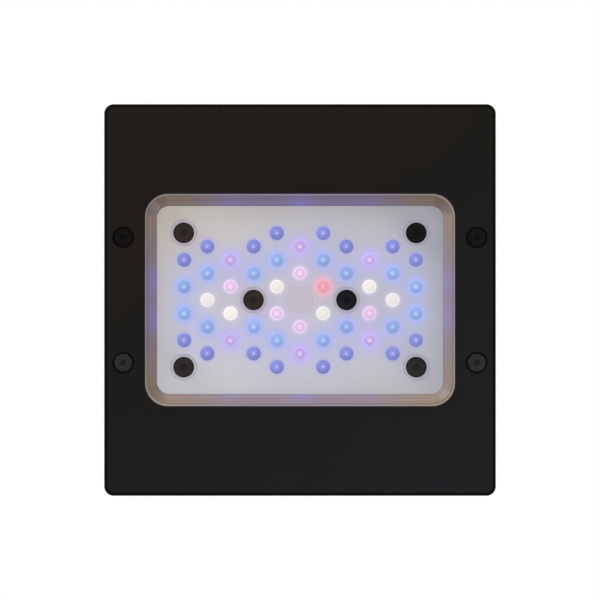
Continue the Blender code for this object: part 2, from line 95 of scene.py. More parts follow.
# LED grid
LED_PITCH = 12.33
COLUMN_PITCH = LED_PITCH * math.cos(math.radians(30))
LED_RADIUS = 3.3
ROYAL, LIGHT, VIOLET = "royal", "light_blue", "violet"
PINK, RED, WHITE = "pink", "red", "white"


def linear(red, green, blue):
    """A display colour from 0 to 255 as linear light."""
    def channel(value):
        value /= 255
        return value / 12.92 if value <= 0.04045 else ((value + 0.055) / 1.055) ** 2.4
    return Vector((channel(red), channel(green), channel(blue)))


# ---- outlines

def rounded(width, depth, radius, height, arc=12, along_x=1, along_y=1):
    """A ring round a rectangle with rounded corners, anticlockwise seen from above."""
    signs = ((1, 1), (-1, 1), (-1, -1), (1, -1))
    centres = [
        Vector((sx * (width / 2 - radius), sy * (depth / 2 - radius), height)) for sx, sy in signs
    ]
    points = []
    for corner, middle in enumerate(centres):
        for step in range(arc + 1):
            angle = math.radians(90 * (corner + step / arc))
            points.append(middle + radius * Vector((math.cos(angle), math.sin(angle), 0)))
        turn = math.radians(90 * (corner + 1))
        start = points[-1]
        end = centres[(corner + 1) % 4] + radius * Vector((math.cos(turn), math.sin(turn), 0))
        parts = along_x if corner % 2 == 0 else along_y
        points += [start.lerp(end, step / parts) for step in range(1, parts)]
    return points


def circle(radius, height, centre=(0.0, 0.0), steps=48):
    turn = 2 * math.pi / steps
    return [
        Vector((
            centre[0] + radius * math.cos(turn * step),
            centre[1] + radius * math.sin(turn * step),
            height,
        ))
        for step in range(steps)
    ]


def turned(profile, centre=(0.0, 0.0), steps=48):
    return [circle(radius, height, centre, steps) for radius, height in profile]


def slot_ring(width, length, centre):
    """A ring round a slot with round ends, at height 0."""
    # A radius just under half the width keeps the two ends' points apart
    radius = min(width, length) / 2 * 0.999
    ring = rounded(width, length, radius, 0, arc=8)
    return [point + Vector((centre[0], centre[1], 0)) for point in ring]


def quarter_round(start, end, steps):
    """Insets and heights along a quarter circle between two (inset, height) points."""
    angles = [math.radians(90) * step / steps for step in range(steps + 1)]
    return [
        (
            start[0] + (end[0] - start[0]) * math.sin(angle),
            start[1] + (end[1] - start[1]) * (1 - math.cos(angle)),
        )
        for angle in angles
    ]


def depth_inside(place, width, depth, corner):
    """How far a place is inside a rounded outline, in millimetres."""
    dx, dy = abs(place.x) - width / 2 + corner, abs(place.y) - depth / 2 + corner
    return corner - math.hypot(max(dx, 0), max(dy, 0)) - min(max(dx, dy), 0)


# ---- meshes

def bridge(mesh, first, second):
    """Faces between two loops of vertices that have equally many points."""
    for index in range(len(first)):
        after = (index + 1) % len(first)
        mesh.faces.new((first[index], first[after], second[after], second[index]))


def add_stack(mesh, rings, closed):
    """A skin over rings of points, capped at its ends or closed into a loop."""
    loops = [[mesh.verts.new(point * MM) for point in ring] for ring in rings]
    pairs = list(zip(loops, loops[1:]))
    if closed:
        pairs.append((loops[-1], loops[0]))
    else:
        mesh.faces.new(loops[0])
        mesh.faces.new(loops[-1])
    for lower, upper in pairs:
        bridge(mesh, lower, upper)


def mesh_data(mesh, name):
    """The finished mesh, with its faces turned outwards."""
    bmesh.ops.recalc_face_normals(mesh, faces=mesh.faces)
    data = bpy.data.meshes.new(name)
    mesh.to_mesh(data)
    mesh.free()
    return data


def mesh_of(name, stacks, closed=False):
    mesh = bmesh.new()
    for rings in stacks:
        add_stack(mesh, rings, closed)
    return mesh_data(mesh, name)


def show(name, data, surface=None):
    thing = bpy.data.objects.new(name, data)
    bpy.context.scene.collection.objects.link(thing)
    if surface:
        data.materials.append(surface)
    return thing


def shaped(name, stacks, surface, closed=False):
    """An object made of stacks of rings."""
    return show(name, mesh_of(name, stacks, closed), surface)


def apply_modifiers(thing):
    graph = bpy.context.evaluated_depsgraph_get()
    data = bpy.data.meshes.new_from_object(
        thing.evaluated_get(graph), preserve_all_data_layers=True, depsgraph=graph
    )
    thing.modifiers.clear()
    thing.data = data


def boolean(thing, stacks, operation="DIFFERENCE", closed=False):
    tool = show("tool", mesh_of("tool", stacks, closed))
    modifier = thing.modifiers.new("shape", "BOOLEAN")
    modifier.operation = operation
    modifier.solver = "EXACT"
    modifier.object = tool
    apply_modifiers(thing)
    bpy.data.objects.remove(tool)


def smooth(thing, angle):
    """Shades the piece smooth but for edges sharper than the angle."""
    thing.data.shade_smooth()
    thing.data.set_sharp_from_angle(angle=math.radians(angle))


def finish_piece(thing, slot, *nodes, body=ROOT, angle=32):
    smooth(thing, angle)
    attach(thing, body)
    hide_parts(*nodes)


def paint(thing, attribute, colour_at):
    """Stores a colour at each vertex, worked out from its place in millimetres."""
    layer = thing.data.color_attributes.new(attribute, "FLOAT_COLOR", "POINT")
    for vertex, value in zip(thing.data.vertices, layer.data):
        value.color = colour_at(vertex.co / MM)


# ---- materials

PANEL_BASE = 136
# Noise seldom leaves this range
NOISE_RANGE = (0.3, 0.7)
# How fast the painted light on the housing changes across and along it, per metre
HOUSING_LIGHT_SLOPE = (2.0, 3.2)


def shader_of(surface):
    return surface.node_tree.nodes["Principled BSDF"]


def principled(name, colour, roughness, metallic=0.0, specular=0.5, **sockets):
    surface = bpy.data.materials.new(name)
    surface.use_nodes = True
    shader = shader_of(surface)
    shader.inputs["Base Color"].default_value = (*colour, 1.0)
    shader.inputs["Roughness"].default_value = roughness
    shader.inputs["Metallic"].default_value = metallic
    shader.inputs["Specular IOR Level"].default_value = specular
    for socket, value in sockets.items():
        shader.inputs[socket.replace("_", " ")].default_value = value
    return surface


def node(tree, kind, **values):
    made = tree.nodes.new(kind)
    for key, value in values.items():
        setattr(made, key, value)
    return made


def noise(tree, scale, detail=3.0, stretch=(1, 1, 1)):
    """Noise in the model's own frame; scale is in features per metre."""
    place = node(tree, "ShaderNodeTexCoord")
    mapping = node(tree, "ShaderNodeMapping")
    mapping.inputs["Scale"].default_value = stretch
    texture = node(tree, "ShaderNodeTexNoise")
    texture.inputs["Scale"].default_value = scale
    texture.inputs["Detail"].default_value = detail
    texture.inputs["Roughness"].default_value = 0.6
    tree.links.new(place.outputs["Object"], mapping.inputs["Vector"])
    tree.links.new(mapping.outputs["Vector"], texture.inputs["Vector"])
    return texture.outputs["Fac"]


def ramp(tree, factor, stops):
    stops = list(stops)
    made = node(tree, "ShaderNodeValToRGB")
    while len(made.color_ramp.elements) < len(stops):
        made.color_ramp.elements.new(0.5)
    for element, (place, colour) in zip(made.color_ramp.elements, stops):
        element.position = place
        element.color = (*colour, 1.0)
    tree.links.new(factor, made.inputs["Fac"])
    return made.outputs["Color"]


def vary_colour(surface, scale, low, high, **kind):
    tree = surface.node_tree
    colour = ramp(tree, noise(tree, scale, **kind), zip(NOISE_RANGE, (low, high)))
    tree.links.new(colour, shader_of(surface).inputs["Base Color"])


def vary_roughness(surface, scale, low, high, **kind):
    tree = surface.node_tree
    spread = node(tree, "ShaderNodeMapRange")
    spread.inputs["From Min"].default_value, spread.inputs["From Max"].default_value = NOISE_RANGE
    spread.inputs["To Min"].default_value = low
    spread.inputs["To Max"].default_value = high
    tree.links.new(noise(tree, scale, **kind), spread.inputs["Value"])
    tree.links.new(spread.outputs["Result"], shader_of(surface).inputs["Roughness"])


def bump(surface, scale, strength, height, **kind):
    """Relief of the given height in millimetres."""
    tree = surface.node_tree
    relief = node(tree, "ShaderNodeBump")
    relief.inputs["Strength"].default_value = strength
    relief.inputs["Distance"].default_value = height * MM
    tree.links.new(noise(tree, scale, **kind), relief.inputs["Height"])
    tree.links.new(relief.outputs["Normal"], shader_of(surface).inputs["Normal"])


def stored_colour(surface, name):
    return node(
        surface.node_tree, "ShaderNodeAttribute", attribute_type="GEOMETRY", attribute_name=name
    )


def emit_stored(surface):
    """The surface gives off the light stored on its mesh; returns the node that reads it."""
    glow = stored_colour(surface, "glow")
    shader = shader_of(surface)
    surface.node_tree.links.new(glow.outputs["Color"], shader.inputs["Emission Color"])
    shader.inputs["Emission Strength"].default_value = 1.0
    return glow


def drift(tree, across, along, spread):
    """A number that runs from 0 to 1 over the object, along a slope in X and Y with soft noise."""
    place = node(tree, "ShaderNodeTexCoord")
    slope = node(tree, "ShaderNodeVectorMath", operation="DOT_PRODUCT")
    slope.inputs[1].default_value = (across, along, 0)
    tree.links.new(place.outputs["Object"], slope.inputs[0])
    cloud = node(tree, "ShaderNodeMath", operation="MULTIPLY_ADD")
    cloud.inputs[1].default_value = spread
    tree.links.new(noise(tree, 16, detail=2.0), cloud.inputs[0])
    tree.links.new(slope.outputs["Value"], cloud.inputs[2])
    middle = node(tree, "ShaderNodeMath", operation="ADD")
    middle.inputs[1].default_value = 0.5 - spread / 2
    tree.links.new(cloud.outputs["Value"], middle.inputs[0])
    return middle.outputs["Value"]


def slope_colour(surface, across, along, spread, stops):
    """Colours the surface by where it is on the object."""
    tree = surface.node_tree
    colour = ramp(tree, drift(tree, across, along, spread), stops)
    tree.links.new(colour, shader_of(surface).inputs["Base Color"])


def moulded_black():
    """Satin black plastic with a fine moulded grain; its colour carries painted light, warmer at
    the front left and cooler at the rear right.
    """
    surface = principled("moulded_black", linear(26, 24, 22), 0.5, specular=0.08)
    slope_colour(surface, *HOUSING_LIGHT_SLOPE, 0.4, (
        (0.15, linear(23, 17, 13)), (0.3, linear(21, 17, 14)), (0.43, linear(17, 15, 12)),
        (0.58, linear(20, 18, 17)), (0.85, linear(20, 21, 24)),
    ))
    vary_roughness(surface, 90, 0.46, 0.6)
    bump(surface, 2600, 0.3, 0.04, detail=2.0)
    return surface


def painted_shade_edge():
    """The rounded outer edge in painted shade, with painted warm light at the front left."""
    surface = principled("painted_shade_edge", linear(13, 10, 8), 0.7, specular=0.02)
    slope_colour(surface, *HOUSING_LIGHT_SLOPE, 0.4, (
        (0.15, linear(20, 14, 9)), (0.5, linear(14, 11, 9)), (0.85, linear(9, 9, 12)),
    ))
    return surface


def painted_lens_light():
    """The housing's edge beside the lens, with painted light from the lens wall."""
    surface = principled("painted_lens_light", linear(62, 54, 56), 0.6, specular=0.1)
    vary_colour(surface, 200, linear(58, 50, 52), linear(66, 58, 60))
    return surface


def cover_black():
    """Satin black plastic of the cover, with a coarser spark-eroded grain."""
    surface = principled("cover_black", linear(22, 21, 20), 0.46, specular=0.1)
    vary_colour(surface, 420, linear(20, 19, 18), linear(24, 23, 22), detail=2.0)
    vary_roughness(surface, 500, 0.42, 0.52)
    bump(surface, 2200, 0.4, 0.05, detail=2.0)
    return surface


def screw_black():
    """Black oxide steel, slightly worn where a driver touches it."""
    surface = principled("screw_black", linear(16, 15, 14), 0.5, specular=0.14)
    vary_colour(surface, 700, linear(8, 8, 7), linear(20, 18, 16), detail=4.0)
    vary_roughness(surface, 900, 0.42, 0.62)
    bump(surface, 3000, 0.25, 0.04)
    return surface


def painted_light_screw_black(name, across, along, stops):
    """Black screw steel with painted light and shade that change along a slope in X and Y."""
    surface = principled(name, linear(18, 18, 18), 0.5, specular=0.07)
    slope_colour(surface, across, along, 0.06, stops)
    vary_roughness(surface, 900, 0.42, 0.62)
    bump(surface, 3000, 0.25, 0.04)
    return surface


def clear_painted_glow(name, colour, alpha):
    """Clear acrylic with the panel's light behind it painted on as a faint coloured glow."""
    return principled(
        name, (0.02, 0.02, 0.02), 0.12, specular=0.3,
        Alpha=alpha, Emission_Color=(*colour, 1.0), Emission_Strength=1.0,
    )


def anodised():
    surface = principled("black_anodised", linear(50, 50, 53), 0.38, metallic=0.9)
    vary_roughness(surface, 400, 0.3, 0.5, stretch=(1, 0.05, 1))
    bump(surface, 1800, 0.2, 0.03, stretch=(1, 0.05, 1))
    return surface


def extruded_aluminium():
    surface = principled("extruded_aluminium", (0.4, 0.41, 0.43), 0.4, metallic=1.0)
    vary_colour(surface, 60, (0.35, 0.36, 0.38), (0.45, 0.46, 0.48), stretch=(1, 0.1, 1))
    vary_roughness(surface, 500, 0.28, 0.46, stretch=(1, 0.04, 1))
    bump(surface, 1500, 0.25, 0.04, stretch=(1, 0.04, 1))
    return surface


def fan_plastic():
    surface = principled("fan_plastic", linear(30, 30, 31), 0.38, specular=0.45)
    vary_colour(surface, 60, linear(26, 26, 27), linear(36, 36, 37))
    vary_roughness(surface, 200, 0.3, 0.46)
    bump(surface, 1500, 0.2, 0.03)
    return surface


def panel_white():
    """Matt white reflector that carries the coloured light spilt by the LEDs."""
    surface = principled("panel_white", linear(150, 149, 150), 0.55, specular=0.2)
    tree = surface.node_tree
    tones = [linear(tone, tone, tone) for tone in (PANEL_BASE, PANEL_BASE + 3)]
    base = ramp(tree, noise(tree, 60, detail=1.0), zip(NOISE_RANGE, tones))
    # Where spilt light covers the panel, its own white is left out
    covered = node(tree, "ShaderNodeMix", data_type="RGBA", blend_type="MIX")
    covered.inputs["B"].default_value = (0, 0, 0, 1)
    tree.links.new(base, covered.inputs["A"])
    tree.links.new(emit_stored(surface).outputs["Alpha"], covered.inputs["Factor"])
    tree.links.new(covered.outputs["Result"], shader_of(surface).inputs["Base Color"])
    bump(surface, 1800, 0.15, 0.03)
    return surface


def led_glow():
    """A lit emitter under its clear dome: the colour rings are stored on the mesh."""
    surface = principled("led_glow", (0.0, 0.0, 0.0), 0.15, specular=0.12)
    emit_stored(surface)
    return surface


def lens_window():
    """Clear polished acrylic where it is flat: only its gloss is seen."""
    return principled("lens_window", (0.12, 0.12, 0.13), 0.05, specular=0.5, Alpha=0.05)


def lens_wall():
    """The moulded side of the lens, where it bends light: its milky colour is painted light and
    shade, and the LEDs' tint on it is a painted glow.
    """
    surface = principled("lens_wall", linear(120, 108, 112), 0.32, specular=0.2)
    wall_light_and_shade = stored_colour(surface, "wall_light_and_shade")
    surface.node_tree.links.new(wall_light_and_shade.outputs["Color"], shader_of(surface).inputs["Base Color"])
    emit_stored(surface)
    return surface


BLACK = moulded_black()
COVER = cover_black()
EDGE_SHADE = painted_shade_edge()
LENS_LIGHT = painted_lens_light()
SCREW = screw_black()
# The screws' colours are painted light and shade that change along a slope in X and Y
EDGE_SCREW = painted_light_screw_black("cap_black", 1.2, 10.0, (
    (0.1, linear(9, 6, 3)), (0.35, linear(7, 10, 17)),
    (0.65, linear(37, 36, 34)), (0.9, linear(37, 37, 39)),
))
PANEL_SCREW = painted_light_screw_black("socket_black", 8.0, -12.0, (
    (0.05, linear(43, 38, 37)), (0.42, linear(47, 38, 33)), (0.56, linear(39, 38, 39)),
    (0.66, linear(18, 18, 27)), (0.95, linear(12, 15, 16)),
))
RAIL = anodised()
METAL = extruded_aluminium()

# ---- stage

# In metres
FLOOR_Z = -1.6
FLOOR_SIZE = 40
# In millimetres
CAMERA_LENS = 150.0
FRAMED_SIDE = 275.5


def set_stage():
    scene = bpy.context.scene
    scene.view_settings.view_transform = "Standard"
    world = bpy.data.worlds.new("studio")
    world.use_nodes = True
    background = world.node_tree.nodes["Background"]
    background.inputs["Color"].default_value = (1, 1, 1, 1)
    background.inputs["Strength"].default_value = 1.0
    scene.world = world
    bpy.ops.mesh.primitive_plane_add(size=FLOOR_SIZE, location=(0, 0, FLOOR_Z))
    floor = bpy.context.object
    floor.name = "floor"
    floor.data.materials.append(principled("floor_pale", (0.8, 0.8, 0.8), 0.7))


def add_light(name, place, size, power, colour):
    data = bpy.data.lights.new(name, "AREA")
    data.size = size
    data.energy = power
    data.color = colour
    light = bpy.data.objects.new(name, data)
    light.location = place
    light.rotation_mode = "QUATERNION"
    light.rotation_quaternion = Vector(place).to_track_quat("Z", "Y")
    bpy.context.scene.collection.objects.link(light)


def add_lights():
    add_light("warm_fill", (-0.9, -0.7, -0.6), 0.5, 6.0, (1.0, 0.9, 0.78))
    add_light("cool_key", (0.9, 0.8, -0.5), 0.6, 8.0, (0.9, 0.94, 1.0))
    add_light("top_key", (0.6, -0.8, 1.2), 0.8, 9.0, (1.0, 0.98, 0.96))
    add_light("top_rim", (-0.9, 0.7, 0.7), 0.6, 7.0, (0.95, 0.97, 1.0))


def add_camera():
    """A camera straight below the light, looking up; the top of the picture is the front."""
    data = bpy.data.cameras.new("camera")
    data.lens = CAMERA_LENS
    data.sensor_width = 36.0
    distance = FRAMED_SIDE * CAMERA_LENS / data.sensor_width
    camera = bpy.data.objects.new("camera", data)
    camera.location = Vector((0, 0, FACE_Z - distance)) * MM
    camera.rotation_euler = (math.pi, 0, 0)
    data.clip_start = 0.05
    data.clip_end = 30
    bpy.context.scene.collection.objects.link(camera)
    bpy.context.scene.camera = camera


# ---- LED panel

COLUMNS = {
    0: {1: PINK, 2: VIOLET},
    1: {0.5: WHITE, 1.5: LIGHT, 2.5: ROYAL},
    2: {1: LIGHT, 2: ROYAL},
    3: {0.5: WHITE, 1.5: VIOLET},
    4: {0: WHITE, 1: LIGHT, 2: ROYAL},
    5: {0.5: LIGHT, 1.5: ROYAL},
}
# Cells where the colour differs from the column's rule, as (column, row)
SPECIAL = {(-3, -0.5): PINK, (3, 0.5): PINK, (-1, 0.5): PINK, (1, -0.5): RED}

# For each channel: display colours at radii from the centre of the dome to its edge
RINGS = {
    ROYAL: ((0, (192, 202, 255)), (0.45, (178, 188, 253)), (0.9, (147, 154, 237)),
            (1.3, (139, 146, 228)), (2.0, (134, 141, 220)), (2.8, (133, 138, 210)),
            (3.3, (154, 158, 219))),
    LIGHT: ((0, (197, 221, 255)), (0.45, (185, 213, 255)), (0.95, (157, 187, 246)),
            (2.0, (146, 171, 235)), (2.8, (157, 179, 238)), (3.3, (174, 188, 241))),
    VIOLET: ((0, (252, 228, 255)), (0.4, (242, 214, 255)), (0.9, (215, 185, 247)),
             (1.9, (197, 166, 232)), (2.5, (206, 186, 248)), (3.3, (206, 193, 252))),
    PINK: ((0, (255, 228, 255)), (0.7, (255, 218, 253)), (1.3, (243, 203, 240)),
           (1.9, (230, 193, 232)), (2.5, (241, 216, 249)), (3.0, (244, 224, 254)),
           (3.3, (228, 208, 242))),
    RED: ((0, (255, 204, 218)), (0.5, (255, 194, 208)), (1.1, (252, 169, 187)),
          (2.0, (250, 164, 184)), (2.7, (252, 180, 196)), (3.3, (250, 187, 201))),
    WHITE: ((0, (255, 250, 241)), (1.2, (252, 245, 237)), (2.0, (248, 242, 238)),
            (2.6, (255, 252, 252)), (3.1, (255, 251, 254)), (3.3, (238, 235, 242))),
}
# Light spilt on the panel: (colour, share at the rim, reach in mm), near and far
SPILL = {
    ROYAL: (((176, 180, 240), 0.50, 0.9), ((180, 182, 236), 0.10, 6.0)),
    LIGHT: (((178, 191, 249), 0.80, 1.6), ((182, 187, 244), 0.28, 6.0)),
    VIOLET: (((200, 190, 250), 0.85, 1.9), ((194, 186, 244), 0.26, 5.5)),
    PINK: (((226, 212, 240), 0.45, 0.8), ((202, 188, 240), 0.20, 5.0)),
    RED: (((250, 186, 204), 0.95, 1.6), ((230, 188, 204), 0.18, 4.0)),
    WHITE: (((226, 224, 234), 0.40, 0.8), ((200, 198, 218), 0.08, 5.0)),
}


def led_table():
    """Each LED as (x, y, channel)."""
    table = []
    for column in range(-5, 6):
        for step, channel in COLUMNS[abs(column)].items():
            for row in (step, -step) if step else (step,):
                place = (column * COLUMN_PITCH, row * LED_PITCH)
                table.append((*place, SPECIAL.get((column, row), channel)))
    return table


LEDS = led_table()


def ring_colour(channel, radius):
    stops = RINGS[channel]
    for (near, first), (far, second) in zip(stops, stops[1:]):
        if radius <= far + 1e-4:
            share = (radius - near) / (far - near)
            return linear(*first).lerp(linear(*second), min(max(share, 0.0), 1.0))
    return linear(*stops[-1][1])


# The white light on the panel, as display colours at the picture's corners
PANEL_LIGHT = {
    (-1, -1): (172, 163, 151), (1, -1): (136, 137, 149),
    (-1, 1): (177, 177, 185), (1, 1): (156, 157, 166),
}
# How much less of it, and how much violet light, there is round the middle
MIDDLE_DIP = 0.17
MIDDLE_VIOLET = Vector((0.035, 0.02, 0.06))
VIOLET_REACH = (38, 25)
SPILL_LIMIT = 20


def panel_light(place):
    """The even light that the lit emitters spread over the panel."""
    half_x, half_y = WINDOW_SIZE[0] / 2, WINDOW_SIZE[1] / 2
    light = Vector((0.0, 0.0, 0.0))
    for (sx, sy), colour in PANEL_LIGHT.items():
        share = (1 + sx * place.x / half_x) * (1 + sy * place.y / half_y) / 4
        light += linear(*colour) * share
    middle = (1 - 0.2 * (place.x / half_x) ** 2) * max(0.0, 1 - (place.y / half_y) ** 2)
    violet = math.exp(-((place.x / VIOLET_REACH[0]) ** 2) - (place.y / VIOLET_REACH[1]) ** 2)
    return light * (1 - MIDDLE_DIP * middle) + MIDDLE_VIOLET * violet


def spill_at(place):
    """The coloured light on the panel at one place, with its share in the last number."""
    light = Vector((0.0, 0.0, 0.0))
    total = 0.0
    for x, y, channel in LEDS:
        away = math.hypot(place.x - x, place.y - y) - LED_RADIUS
        if away > SPILL_LIMIT:
            continue
        for colour, share, reach in SPILL[channel]:
            weight = share * math.exp(-(max(away, 0.0) / reach) ** 1.6)
            light += linear(*colour) * weight
            total += weight
    if total > 1:
        light /= total
        total = 1.0
    light += panel_light(place) * (1 - total)
    return (*light, total)


DOME_CROWN = 1.1
DOME_BASE_Z = PLATE_LOW.z + 0.35
DOME_SKIRT = 1.2
DOME_STEPS = 28
# Rings added so that each dome is round in section
DOME_RADII = {0.25, 1.6, 2.3, 3.05}
# How much darker a dome is at its rear than in its middle
DOME_GRADIENT = {ROYAL: 0.17, LIGHT: 0.13, VIOLET: 0.06, PINK: 0.06, RED: 0.06, WHITE: 0.06}


def add_dome(mesh, layer, channel, radii, middle, bright, aside):
    """A dome with its colour in rings, and a skirt that goes behind the plate."""
    tip = mesh.verts.new((Vector((*middle, DOME_BASE_Z - DOME_CROWN)) + aside) * MM)
    tip[layer] = (*ring_colour(channel, 0), 1.0)
    previous = None
    for radius in radii:
        share = radius / (LED_RADIUS + 0.05)
        height = DOME_BASE_Z - DOME_CROWN * math.sqrt(max(1 - share ** 2, 0))
        shift = aside * max(0.0, 1 - radius / 1.3)
        points = circle(radius, height, middle, DOME_STEPS)
        ring = [mesh.verts.new((point + shift) * MM) for point in points]
        for vertex in ring:
            away = vertex.co / MM - Vector((*middle, 0))
            lift = 1 - DOME_GRADIENT[channel] * (away.y + 0.6 * away.x) / LED_RADIUS
            vertex[layer] = (*(ring_colour(channel, radius) * bright * lift), 1.0)
        if previous:
            bridge(mesh, previous, ring)
        else:
            for index in range(DOME_STEPS):
                mesh.faces.new((tip, ring[(index + 1) % DOME_STEPS], ring[index]))
        previous = ring
    points = circle(LED_RADIUS, DOME_BASE_Z + DOME_SKIRT, middle, DOME_STEPS)
    skirt = [mesh.verts.new(point * MM) for point in points]
    for vertex in skirt:
        vertex[layer] = (*ring_colour(channel, LED_RADIUS), 1.0)
    bridge(mesh, previous, skirt)
    mesh.faces.new(skirt)


def make_led_domes():
    """One mesh for each colour channel, with the light of each emitter a little different."""
    surface = led_glow()
    draw = random.Random(7)
    for channel, stops in RINGS.items():
        mesh = bmesh.new()
        layer = mesh.verts.layers.float_color.new("glow")
        radii = sorted({radius for radius, _ in stops if radius > 0} | DOME_RADII)
        for x, y, kind in LEDS:
            if kind != channel:
                continue
            bright = draw.uniform(0.94, 1.05)
            # The bright middle of each dome is set a little aside as a painted highlight
            aside = Vector((draw.uniform(-0.2, 0.05), draw.uniform(0.1, 0.3), 0))
            add_dome(mesh, layer, channel, radii, (x, y), bright, aside)
        name = "leds_" + channel
        thing = show(name, mesh_data(mesh, name), surface)
        finish_piece(thing, "led_blue", "led_board", angle=50)


def make_board():
    """The white-masked board that carries the emitters, seen only past the panel's edge."""
    surface = principled("board_white", linear(214, 214, 210), 0.4, specular=0.4)
    vary_colour(surface, 400, linear(206, 207, 203), linear(220, 220, 216))
    width, depth = BOARD_HIGH.x - BOARD_LOW.x, BOARD_HIGH.y - BOARD_LOW.y
    corner, chamfer, hole = 6.0, 0.2, 2.2
    low, high = PLATE_HIGH.z + 0.3, BOARD_HIGH.z
    rings = [
        rounded(width - 2 * inset, depth - 2 * inset, corner - inset, z)
        for inset, z in ((chamfer, low), (0, low + chamfer), (0, high - chamfer), (chamfer, high))
    ]
    board = shaped("board_plate", [rings], surface)
    boolean(board, [
        turned(((hole, low - 1), (hole, high + 1)), p, 24) for p in panel_screws()
    ])
    finish_piece(board, "reflector_white", "led_board")


def grid_plate(name, low, high, step):
    """A plate whose faces are fine grids, so that colours can be stored across it."""
    mesh = bmesh.new()
    columns = round((high.x - low.x) / step)
    rows = round((high.y - low.y) / step)

    def grid_point(i, j, z):
        return mesh.verts.new(Vector((
            low.x + (high.x - low.x) * i / columns, low.y + (high.y - low.y) * j / rows, z,
        )) * MM)

    lower, upper = (
        [[grid_point(i, j, z) for j in range(rows + 1)] for i in range(columns + 1)]
        for z in (low.z, high.z)
    )
    for sheet in (lower, upper):
        for left, right in zip(sheet, sheet[1:]):
            for j in range(rows):
                mesh.faces.new((left[j], right[j], right[j + 1], left[j + 1]))
    edge = [(i, 0) for i in range(columns)] + [(columns, j) for j in range(rows)]
    edge += [(i, rows) for i in range(columns, 0, -1)] + [(0, j) for j in range(rows, 0, -1)]
    bridge(mesh, [lower[i][j] for i, j in edge], [upper[i][j] for i, j in edge])
    return mesh_data(mesh, name)


def make_reflector():
    """The panel with a window for each emitter, on a grid fine enough to hold their light."""
    grid, flare = 1.3, 0.25
    low, high = PLATE_LOW.z, PLATE_HIGH.z
    data = grid_plate("reflector_panel", PLATE_LOW, PLATE_HIGH, grid)
    plate = show("reflector_panel", data, panel_white())
    window = (
        (LED_RADIUS + flare, low - 0.5), (LED_RADIUS + flare, low),
        (LED_RADIUS, low + 0.3), (LED_RADIUS, high + 0.5),
    )
    boolean(plate, [turned(window, (x, y), 32) for x, y, _ in LEDS])
    paint(plate, "glow", spill_at)
    finish_piece(plate, "reflector_white", "reflector_plate", angle=25)


# ---- lens

def lens_profile():
    """(size inset, height, display colour) from the rim to the window, on the lens's outside; the
    colours are painted light seen in the clear wall, with a painted highlight along the rim.
    """
    low = LENS_LOW.z
    rim = FACE_Z - 0.9
    return (
        (0.0, FACE_Z + 2.5, (90, 82, 80)), (0.0, rim + 0.35, (62, 56, 54)),
        (0.12, rim + 0.1, (78, 71, 70)), (0.35, rim, (118, 110, 112)),
        (0.5, rim, (124, 116, 119)), (0.8, rim, (122, 113, 116)),
        (0.95, rim + 0.1, (118, 108, 111)), (1.1, rim + 0.25, (112, 101, 104)),
        (1.35, rim + 0.25, (114, 102, 105)), (1.5, rim + 0.1, (124, 111, 114)),
        (1.7, rim, (132, 118, 121)), (2.1, rim - 0.25, (114, 102, 106)),
        (2.5, rim - 0.6, (132, 118, 121)), (2.9, rim - 0.9, (116, 102, 109)),
        (3.3, rim - 1.2, (132, 117, 122)), (3.8, rim - 1.5, (114, 101, 110)),
        (4.3, rim - 1.85, (130, 116, 123)), (4.9, rim - 2.2, (121, 108, 116)),
        (5.25, low + 0.28, (118, 106, 112)), (5.5, low + 0.08, (116, 105, 110)),
        (WALL_INSET, low, (122, 112, 116)),
    )


def lens_ring(inset, height):
    """A ring of the lens: its corner radius falls from the rim's to the window's."""
    share = inset / WALL_INSET
    corner = LENS_CORNER + (WINDOW_CORNER - LENS_CORNER) * share
    depth_inset = inset * (LENS_SIZE[1] - WINDOW_SIZE[1]) / (LENS_SIZE[0] - WINDOW_SIZE[0])
    return rounded(
        LENS_SIZE[0] - 2 * inset, LENS_SIZE[1] - 2 * depth_inset, corner, height, 14, 60, 40
    )


def panel_screws():
    return [centre_mm(name) for name in numbered("lens_screw", 6)]


# Painted light and shade on each side of the lens wall: on its rim, just inside that and at the
# window
SIDE_TONES = {
    "left": (1.05, 0.81, 0.80), "right": (1.36, 1.16, 1.17),
    "front": (1.12, 0.73, 0.78), "rear": (1.45, 1.25, 1.30),
}
RIM_WIDTH = 1.2
# How much painted shade the wall gets where it turns each corner
CORNER_SHADE = {
    ("left", "front"): 0.32, ("right", "front"): 0.25,
    ("left", "rear"): 0.19, ("right", "rear"): 0.08,
}
# Blue light that the LEDs throw on the lens wall: an even part on each side, and narrow spots
# near the closest LEDs as (place along the side, strength, reach)
GLOW_COLOUR = Vector((0.065, 0.10, 1.0))
LONG_SIDE_GLOW = {"front": 0.118, "rear": 0.075}
SHORT_SIDE_GLOW = 0.1
LONG_SIDE_SPOTS = (
    (-3 * COLUMN_PITCH, 0.07, 4.5), (0.0, 0.15, 5.5), (3 * COLUMN_PITCH, 0.06, 4.5),
)
SHORT_SIDE_SPOTS = ((-8.6, 0.14, 5.5), (8.6, 0.14, 5.5))


def beyond_straights(place):
    """How far a place on the lens lies past the ends of the straight stretches, in X and Y."""
    return (
        max(0.0, abs(place.x) - LENS_SIZE[0] / 2 + LENS_CORNER),
        max(0.0, abs(place.y) - LENS_SIZE[1] / 2 + LENS_CORNER),
    )


def nearest_sides(place):
    return "left" if place.x < 0 else "right", "front" if place.y < 0 else "rear"


def corner_shade(place):
    dx, dy = beyond_straights(place)
    return CORNER_SHADE[nearest_sides(place)] * min(min(dx, dy) / 2.5, 1.0)


